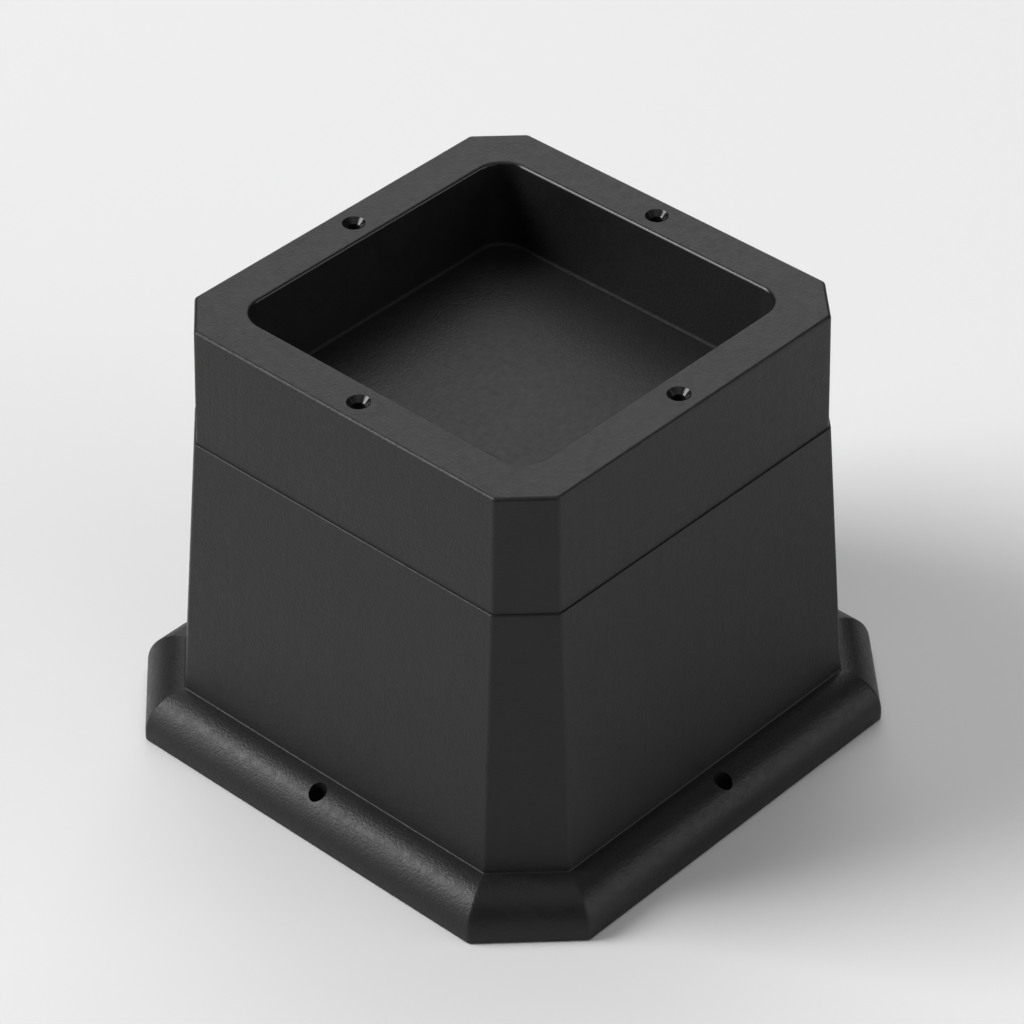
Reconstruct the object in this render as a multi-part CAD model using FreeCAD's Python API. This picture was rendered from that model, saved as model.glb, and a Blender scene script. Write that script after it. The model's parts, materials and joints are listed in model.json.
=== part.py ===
# Bed riser: a one-piece moulded plastic block that lifts a furniture leg off the floor.
# A square recess in the flat rim takes the leg, the body tapers out to a rolled flange,
# and the underside is an open shell with a lattice of ribs below the recess.
# Millimetres, +Z up, origin at the centre of the foot plane.
import FreeCAD, Part
import math
import os

# Outer form
height = 127.0
top_width = 124.0             # across the flats at the rim, before its edge is rounded
corner_cut = 11.0             # leg of the 45 degree cut at each corner of the rim
band_height = 34.5            # upper band, from the rim down to the witness step
band_draft = 1.5              # degrees
witness_step = 0.5            # ledge where the lower body stands proud of the band
body_draft = 4.2              # degrees
corner_edge_radius = 1.6      # upright edges between the flats and the cut corners
rim_edge_radius = 1.0
step_edge_radius = 0.45

# Rolled flange round the foot
flange_width = 11.0           # beyond the body, measured at the flange's top
flange_height = 14.0
roll_radius = 11.5            # a little more than the width, so the roll starts inside the wall
foot_edge_radius = 0.8
mitre_radius = 1.5            # softens the eight mitres of the roll
crease_radius = 0.4           # fillet where the body rises out of the flange

# Recess for the leg
recess_width = 98.0           # between opposite walls at the mouth
recess_depth = 25.0
recess_draft = 2.0            # degrees
recess_corner_radius = 8.0
recess_floor_radius = 0.8
mouth_edge_radius = 1.0

# Shell and ribs of the underside
wall = 3.5
rim_thickness = 4.0
cup_wall = 3.0
cup_floor = 4.0
core_edge_radius = 2.0
rib_pitch = 44.0              # between the two ribs that run each way
rib_foot_thickness = 2.6
rib_draft = 0.4               # degrees on each side

# Screw holes at the middle of each side
rim_hole_diameter = 3.4
countersink_diameter = 6.2
countersink_angle = 90.0      # degrees, included
flange_hole_diameter = 5.0
flange_hole_offset = 4.8      # from the body's face to the hole's axis
post_wall = 2.4               # round each flange hole, inside the hollow flange

# How far cutting shapes run past the faces that they open
overrun = 1.0
tolerance = 0.001


def spread(rise, degrees):
    """Sideways growth of a drafted face over a rise."""
    return rise * math.tan(math.radians(degrees))


# Levels and half widths that follow from the driving sizes
step_level = height - band_height
half_top = top_width / 2
half_band_foot = half_top + spread(band_height, band_draft)
half_ledge = half_band_foot + witness_step
half_base = half_ledge + spread(step_level - flange_height, body_draft)
half_flange = half_base + flange_width
roll_inside_wall = max(roll_radius - flange_width, 0)
crease_level = flange_height - roll_radius + math.sqrt(roll_radius ** 2 - roll_inside_wall ** 2)
half_recess = recess_width / 2
rim_hole_radius = (half_top + half_recess) / 2
flange_hole_radius = half_base + flange_hole_offset


def cut_at(half_width):
    """Corner cut of the octagon whose eight sides all stand the same distance from the rim's."""
    return corner_cut + (half_width - half_top) * (2 - math.sqrt(2))


def half_across_cuts(half_width):
    """Distance from the axis to the cut corners."""
    return (2 * half_width - cut_at(half_width)) / math.sqrt(2)


def turned(shape, degrees):
    return shape.rotated(FreeCAD.Vector(0, 0, 0), FreeCAD.Vector(0, 0, 1), degrees)


def ring_of_points(quarter, level):
    """Repeats the points of one quarter four times about the axis."""
    points = []
    for turn in range(4):
        c = round(math.cos(turn * math.pi / 2))
        s = round(math.sin(turn * math.pi / 2))
        points += [FreeCAD.Vector(c * x - s * y, s * x + c * y, level) for x, y in quarter]
    return points


def octagon(half_width, level):
    reach = half_width - cut_at(half_width)
    return ring_of_points([(half_width, -reach), (half_width, reach)], level)


def square(half_width, level):
    return ring_of_points([(half_width, half_width)], level)


def face_of(points):
    return Part.Face(Part.makePolygon(points + points[:1]))


def frustum(lower, upper):
    """Solid with flat sides between two outlines that have the same corners."""
    faces = [face_of(lower[::-1]), face_of(upper)]
    for i in range(len(lower)):
        j = (i + 1) % len(lower)
        faces.append(face_of([lower[i], lower[j], upper[j], upper[i]]))
    return Part.makeSolid(Part.makeShell(faces))


def rounded_upright(solid, radius):
    """Rounds the edges that run from the lower outline to the upper one."""
    edges = [edge for edge in solid.Edges if edge.BoundBox.ZLength > tolerance]
    return solid.makeFillet(radius, edges)


def rounded_loop(solid, radius, level, half_width, slack=tolerance):
    """Rounds the edges at one level that lie within a half width of the axis."""
    edges = []
    for edge in solid.Edges:
        box = edge.BoundBox
        reach = max(box.XMax, box.YMax, -box.XMin, -box.YMin)
        corner_reach = max(abs(vertex.X) + abs(vertex.Y) for vertex in edge.Vertexes)
        at_level = abs(box.ZMin - level) < slack and abs(box.ZMax - level) < slack
        within = corner_reach < math.sqrt(2) * half_across_cuts(half_width) + slack
        if at_level and within and reach < half_width + slack:
            edges.append(edge)
    return solid.makeFillet(radius, edges)


def drafted_block(half_low, low, half_high, high, edge_radius):
    """Octagonal block whose sides lean in evenly, with rounded upright edges."""
    return rounded_upright(frustum(octagon(half_low, low), octagon(half_high, high)), edge_radius)


def leg_pocket(half_width, depth, corner_radius, floor_radius):
    """The recess as a solid: drafted walls, rounded corners and a filleted floor."""
    top = height + overrun
    floor = height - depth
    half_floor = half_width - spread(depth, recess_draft)
    half_mouth = half_width + spread(overrun, recess_draft)
    pocket = rounded_upright(frustum(square(half_floor, floor), square(half_mouth, top)), corner_radius)
    return rounded_loop(pocket, floor_radius, floor, half_width)


def rolled_bar(half_width, roof, roll, foot):
    """Straight bar with the flange's section, long enough to cross the whole riser along Y."""
    shoulder = half_width - roll
    slant = math.sqrt(0.5)
    outline = []

    def point(x, z):
        return FreeCAD.Vector(x, -2 * half_flange, z)

    def line(start, end):
        outline.append(Part.makeLine(start, end))

    def arc(start, middle, end):
        outline.append(Part.Arc(start, middle, end).toShape())

    for side in (1, -1):
        roll_start = point(side * half_width, roof - roll)
        roll_middle = point(side * (shoulder + roll * slant), roof - roll + roll * slant)
        roll_end = point(side * shoulder, roof)
        arc(roll_start, roll_middle, roll_end)
        line(roll_start, point(side * half_width, foot))
    line(point(shoulder, roof), point(-shoulder, roof))
    line(point(half_width, foot), point(-half_width, foot))
    section = Part.Face(Part.Wire(Part.__sortEdges__(outline)))
    return section.extrude(FreeCAD.Vector(0, 4 * half_flange, 0))


def rolled_slab(half_width, roof, roll, foot):
    """Flange form: four rolled bars meet in mitres at the corners."""
    side_bar = rolled_bar(half_width, roof, roll, foot)
    corner_bar = rolled_bar(half_across_cuts(half_width), roof, roll, foot)
    crossed = side_bar.common(turned(side_bar, 90))
    return crossed.common(turned(corner_bar, 45)).common(turned(corner_bar, -45)).Solids[0]


def upper_band():
    """Band with the rounded rim and the recess."""
    band = drafted_block(half_band_foot, step_level, half_top, height, corner_edge_radius)
    band = rounded_loop(band, rim_edge_radius, height, half_top)
    band = band.cut(leg_pocket(half_recess, recess_depth, recess_corner_radius, recess_floor_radius))
    return rounded_loop(band, mouth_edge_radius, height, half_recess)


def lower_body():
    """Flared body on its flange, with the ledge's edge rounded and the crease filleted."""
    half_foot = half_base + spread(flange_height, body_draft)
    body = drafted_block(half_foot, 0, half_ledge, step_level, corner_edge_radius)
    body = rounded_loop(body, step_edge_radius, step_level, half_ledge)
    flange = rounded_upright(rolled_slab(half_flange, flange_height, roll_radius, 0), mitre_radius)
    flange = rounded_loop(flange, foot_edge_radius, 0, half_flange)
    return rounded_loop(flange.fuse(body), crease_radius, crease_level, half_base, crease_radius / 2)


def ribs():
    """Two drafted ribs each way, thinnest at the foot."""
    top = height
    foot = -overrun
    half_foot = rib_foot_thickness / 2
    half_top_rib = half_foot + spread(top - foot, rib_draft)
    lattice = []
    for middle in (-rib_pitch / 2, rib_pitch / 2):
        corners = [(-half_foot, foot), (half_foot, foot), (half_top_rib, top), (-half_top_rib, top)]
        section = face_of([FreeCAD.Vector(middle + x, -half_flange, z) for x, z in corners])
        rib = section.extrude(FreeCAD.Vector(0, 2 * half_flange, 0))
        lattice += [rib, turned(rib, 90)]
    return lattice


def around(shape, radius):
    """Four copies at the middle of each side, a radius from the axis."""
    outer = shape.translated(FreeCAD.Vector(radius, 0, 0))
    return [turned(outer, 90 * turn) for turn in range(4)]


def upright_cylinder(diameter, low, high):
    return Part.makeCylinder(diameter / 2, high - low, FreeCAD.Vector(0, 0, low))


def flange_posts():
    post = upright_cylinder(flange_hole_diameter + 2 * post_wall, -overrun, flange_height)
    return around(post, flange_hole_radius)


def flange_holes():
    hole = upright_cylinder(flange_hole_diameter, -overrun, flange_height + overrun)
    return around(hole, flange_hole_radius)


def rim_holes():
    sink_depth = (countersink_diameter - rim_hole_diameter) / 2 / math.tan(math.radians(countersink_angle / 2))
    bore = upright_cylinder(rim_hole_diameter, height - rim_thickness - overrun, height)
    sink = Part.makeCone(rim_hole_diameter / 2, countersink_diameter / 2, sink_depth,
                         FreeCAD.Vector(0, 0, height - sink_depth))
    return around(bore.fuse(sink), rim_hole_radius)


def underside():
    """Hollow of the shell: everything inside the walls but the cup, the ribs and the posts."""
    half_core_foot = half_base - wall + spread(flange_height + overrun, body_draft)
    half_core_step = half_band_foot - wall
    body_core = drafted_block(half_core_foot, -overrun, half_core_step, step_level, core_edge_radius)
    band_core = drafted_block(half_core_step, step_level, half_top - wall, height - rim_thickness,
                              core_edge_radius)
    flange_core = rolled_slab(half_flange - wall, flange_height - wall, roll_radius - wall, -overrun)
    core = flange_core.fuse([body_core, band_core])
    cup = leg_pocket(half_recess + cup_wall, recess_depth + cup_floor, recess_corner_radius + cup_wall,
                     recess_floor_radius + cup_wall)
    return core.cut([cup] + ribs() + flange_posts())


def riser():
    block = lower_body().fuse(upper_band()).removeSplitter()
    return block.cut(underside()).cut(rim_holes() + flange_holes()).Solids[0]


os.makedirs("parts", exist_ok=True)
riser().exportStep("parts/riser.step")
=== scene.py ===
# Bed riser: one moulding in black plastic, on a pale studio floor.
import json
import math
import bpy
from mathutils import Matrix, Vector

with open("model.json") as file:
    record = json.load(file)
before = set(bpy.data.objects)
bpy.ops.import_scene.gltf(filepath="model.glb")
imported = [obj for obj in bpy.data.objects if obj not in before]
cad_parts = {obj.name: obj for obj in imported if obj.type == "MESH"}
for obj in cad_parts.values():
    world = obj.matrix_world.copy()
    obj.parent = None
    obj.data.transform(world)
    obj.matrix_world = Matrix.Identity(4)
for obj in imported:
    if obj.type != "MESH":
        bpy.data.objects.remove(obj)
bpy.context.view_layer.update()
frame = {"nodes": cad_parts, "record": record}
riser = frame["nodes"]["riser"]
scene = bpy.context.scene
scene.view_settings.view_transform = "Standard"

MM = 0.001
mounts = {mount["name"]: mount for mount in frame["record"]["mounts"]}
rim_level = mounts["rim_face"]["pos_m"][2]
recess_floor_level = mounts["leg_seat"]["pos_m"][2]


def linear(code):
    """sRGB hex value as a linear colour."""
    channels = [int(code[i:i + 2], 16) / 255 for i in (1, 3, 5)]
    return [c / 12.92 if c <= 0.04045 else ((c + 0.055) / 1.055) ** 2.4 for c in channels] + [1]


def add(tree, kind, inputs, **settings):
    """Adds a node. An input takes a value, an output, or a node, whose first output it then takes."""
    node = tree.nodes.new(kind)
    for name, value in settings.items():
        setattr(node, name, value)
    for name, value in inputs.items():
        if isinstance(value, bpy.types.Node):
            value = value.outputs[0]
        if isinstance(value, bpy.types.NodeSocket):
            tree.links.new(value, node.inputs[name])
        else:
            node.inputs[name].default_value = value
    return node


def black_polypropylene():
    """Polypropylene from a spark-eroded steel mould: deep black, dulled by an even grain that breaks every
    highlight into specks. The grain is deeper on the flange, and the drafted walls carry faint upright
    marks from leaving the mould. The steel was polished at the recess's mouth and the countersinks, which
    shine in thin lines, and left dull in the tight corner round the recess floor."""
    material = bpy.data.materials.new("black_polypropylene")
    material.use_nodes = True
    tree = material.node_tree
    tree.nodes.clear()
    place = add(tree, "ShaderNodeTexCoord", {}).outputs["Object"]
    level = add(tree, "ShaderNodeSeparateXYZ", {"Vector": place}).outputs["Z"]

    # Rounded edges and countersinks are the surfaces that face neither up nor sideways. The product of the
    # normal's upward share and the rest is 0 on flat tops and upright walls, and up to 0.25 between them.
    slant_start = 0.08
    slant_full = 0.16
    facing = add(tree, "ShaderNodeNewGeometry", {}).outputs["Normal"]
    upward = add(tree, "ShaderNodeSeparateXYZ", {"Vector": facing}).outputs["Z"]
    sideways = add(tree, "ShaderNodeMath", {0: 1.0, 1: upward}, operation="SUBTRACT")
    slanted = add(tree, "ShaderNodeMath", {0: upward, 1: sideways}, operation="MULTIPLY")
    edge = add(tree, "ShaderNodeMapRange",
               {"Value": slanted, "From Min": slant_start, "From Max": slant_full})

    # The polish takes in the edges at the top of the rim, but for the rim's own outer edge.
    polish_depth = 1.5 * MM
    polish_reach = 60 * MM           # from the axis towards a flat
    polish_corner_reach = 105 * MM   # along X and along Y together, towards a cut corner
    folded = add(tree, "ShaderNodeVectorMath", {0: place}, operation="ABSOLUTE")
    plan = add(tree, "ShaderNodeSeparateXYZ", {"Vector": folded})
    across = add(tree, "ShaderNodeMath", {0: plan.outputs["X"], 1: plan.outputs["Y"]}, operation="MAXIMUM")
    diagonal = add(tree, "ShaderNodeMath", {0: plan.outputs["X"], 1: plan.outputs["Y"]}, operation="ADD")
    off_flats = add(tree, "ShaderNodeMath", {0: across, 1: polish_reach}, operation="LESS_THAN")
    off_cuts = add(tree, "ShaderNodeMath", {0: diagonal, 1: polish_corner_reach}, operation="LESS_THAN")
    inside = add(tree, "ShaderNodeMath", {0: off_flats, 1: off_cuts}, operation="MULTIPLY")
    at_rim = add(tree, "ShaderNodeMath", {0: level, 1: rim_level - polish_depth}, operation="GREATER_THAN")
    rim_part = add(tree, "ShaderNodeMath", {0: inside, 1: at_rim}, operation="MULTIPLY")
    polished = add(tree, "ShaderNodeMath", {0: edge, 1: rim_part}, operation="MULTIPLY")
    unpolished = add(tree, "ShaderNodeMath", {0: 1.0, 1: polished}, operation="SUBTRACT")

    # The dull corner takes in the fillet round the recess floor.
    dull_height = 0.9 * MM
    at_floor = add(tree, "ShaderNodeMath", {0: level, 1: recess_floor_level, 2: dull_height},
                   operation="COMPARE")
    dulled = add(tree, "ShaderNodeMath", {0: edge, 1: at_floor}, operation="MULTIPLY")

    # Real grain is about 0.15 mm wide; it is drawn at 0.7 mm, with finer grain in it, so that it shows.
    grain_width = 0.7 * MM
    grain_depth = 0.1 * MM
    flange_grain = 1.2               # times as deep as on the walls
    flange_top = 14 * MM
    fade = 1 * MM
    grain = add(tree, "ShaderNodeTexNoise",
                {"Vector": place, "Scale": 1 / grain_width, "Detail": 2.0, "Roughness": 0.5})
    deeper = add(tree, "ShaderNodeMapRange",
                 {"Value": level, "From Min": flange_top - fade, "From Max": flange_top + fade,
                  "To Min": flange_grain, "To Max": 1.0})
    etched = add(tree, "ShaderNodeMath", {0: grain, 1: deeper}, operation="MULTIPLY")
    relief = add(tree, "ShaderNodeMath", {0: etched, 1: unpolished}, operation="MULTIPLY")
    bump = add(tree, "ShaderNodeBump", {"Height": relief, "Strength": 1.0, "Distance": grain_depth})

    # Upright marks, with small blotches and slower patches over them, make the gloss uneven.
    mark_width = 1.4 * MM
    mark_height = 40 * MM
    blotch_width = 2 * MM
    patch_width = 14 * MM
    stretched = add(tree, "ShaderNodeMapping",
                    {"Vector": place, "Scale": (1 / mark_width, 1 / mark_width, 1 / mark_height)})
    marks = add(tree, "ShaderNodeTexNoise", {"Vector": stretched, "Scale": 1.0, "Detail": 1.0})
    blotches = add(tree, "ShaderNodeTexNoise", {"Vector": place, "Scale": 1 / blotch_width, "Detail": 1.0})
    patches = add(tree, "ShaderNodeTexNoise", {"Vector": place, "Scale": 1 / patch_width, "Detail": 2.0})
    uneven = add(tree, "ShaderNodeMath", {0: marks, 1: patches, 2: blotches}, operation="MULTIPLY_ADD")

    # Moulded polypropylene is half matt; polish takes roughness off it and the dull corner adds some.
    uneven_low = 0.4                 # the range that the three noises make together
    uneven_high = 1.1
    roughness_low = 0.36
    roughness_high = 0.49
    polish_effect = -0.26
    dull_effect = 0.3
    matt = add(tree, "ShaderNodeMapRange",
               {"Value": uneven, "From Min": uneven_low, "From Max": uneven_high,
                "To Min": roughness_low, "To Max": roughness_high})
    smoother = add(tree, "ShaderNodeMath", {0: polished, 1: polish_effect, 2: matt},
                   operation="MULTIPLY_ADD")
    roughness = add(tree, "ShaderNodeMath", {0: dulled, 1: dull_effect, 2: smoother},
                    operation="MULTIPLY_ADD")

    # Carbon black is never mixed in quite evenly, so the tone wanders a little. A Mix node has inputs and
    # outputs of the same name for each kind of data: 6, 7 and output 2 are the colours.
    colour = add(tree, "ShaderNodeMix", {0: patches, 6: linear("#151516"), 7: linear("#1e1e1f")},
                 data_type="RGBA").outputs[2]

    shader = add(tree, "ShaderNodeBsdfPrincipled",
                 {"Base Color": colour, "Roughness": roughness, "IOR": 1.49, "Specular IOR Level": 0.3,
                  "Normal": bump})
    add(tree, "ShaderNodeOutputMaterial", {"Surface": shader})
    return material


def studio_floor():
    """Matt white paper: pale, with no gloss of its own."""
    width = 8.0
    bpy.ops.object.select_all(action="DESELECT")
    bpy.ops.mesh.primitive_plane_add(size=width)
    floor = bpy.context.object
    floor.name = "floor"
    material = bpy.data.materials.new("white_paper")
    material.use_nodes = True
    tree = material.node_tree
    tree.nodes.clear()
    shader = add(tree, "ShaderNodeBsdfDiffuse", {"Color": linear("#e4e4e4")})
    add(tree, "ShaderNodeOutputMaterial", {"Surface": shader})
    floor.data.materials.append(material)


# The camera stands where the photograph was taken from, and looks at the middle of the riser through a
# long lens, so that the riser fills the frame.
eye = Vector((-670.5, -614.7, 761.2)) * MM
aim = Vector((0, 0, 61.6)) * MM
camera = bpy.data.objects.new("camera", bpy.data.cameras.new("camera"))
scene.collection.objects.link(camera)
camera.location = eye
camera.rotation_mode = "QUATERNION"
camera.rotation_quaternion = (aim - eye).to_track_quat("-Z", "Y")
camera.data.sensor_width = 36
camera.data.lens = 154.7
scene.camera = camera

towards_camera = Vector((eye.x, eye.y, 0)).normalized()
to_the_right = Vector((-towards_camera.y, towards_camera.x, 0))

# Far off, so that the floor is lit evenly
softbox_distance = 9.6


def softbox(name, bearing, elevation, side, brightness):
    """Square softbox that faces the riser. Bearing 0 is the camera's side and 90 the camera's right, and a
    brightness of 1 is white."""
    b = math.radians(bearing)
    e = math.radians(elevation)
    level = towards_camera * math.cos(b) + to_the_right * math.sin(b)
    out = level * math.cos(e) + Vector((0, 0, math.sin(e)))
    lamp = bpy.data.lights.new(name, "AREA")
    lamp.shape = "SQUARE"
    lamp.size = side
    lamp.energy = brightness * math.pi * side * side
    box = bpy.data.objects.new(name, lamp)
    scene.collection.objects.link(box)
    box.location = aim + out * softbox_distance
    box.rotation_mode = "QUATERNION"
    box.rotation_quaternion = (-out).to_track_quat("-Z", "Y")
    box.visible_camera = False


softbox("back_high_softbox", 180, 55, 6.4, 1.7)
softbox("back_low_softbox", 180, 22, 6.4, 1.35)
softbox("ceiling_softbox", 180, 88, 15.2, 0.3)
softbox("front_softbox", 0, 60, 6.4, 0.4)
softbox("left_key_softbox", -90, 39, 4.4, 12)
softbox("left_low_softbox", -86, 17, 6.4, 2.7)
softbox("right_low_softbox", 78, 16, 6.4, 1.8)
softbox("right_front_softbox", 45, 28, 6.4, 0.8)

# The softboxes are the only light.
world = bpy.data.worlds.new("studio")
scene.world = world
world.use_nodes = True
world.node_tree.nodes["Background"].inputs["Strength"].default_value = 0.0

riser.material_slots[0].material = black_polypropylene()
studio_floor()
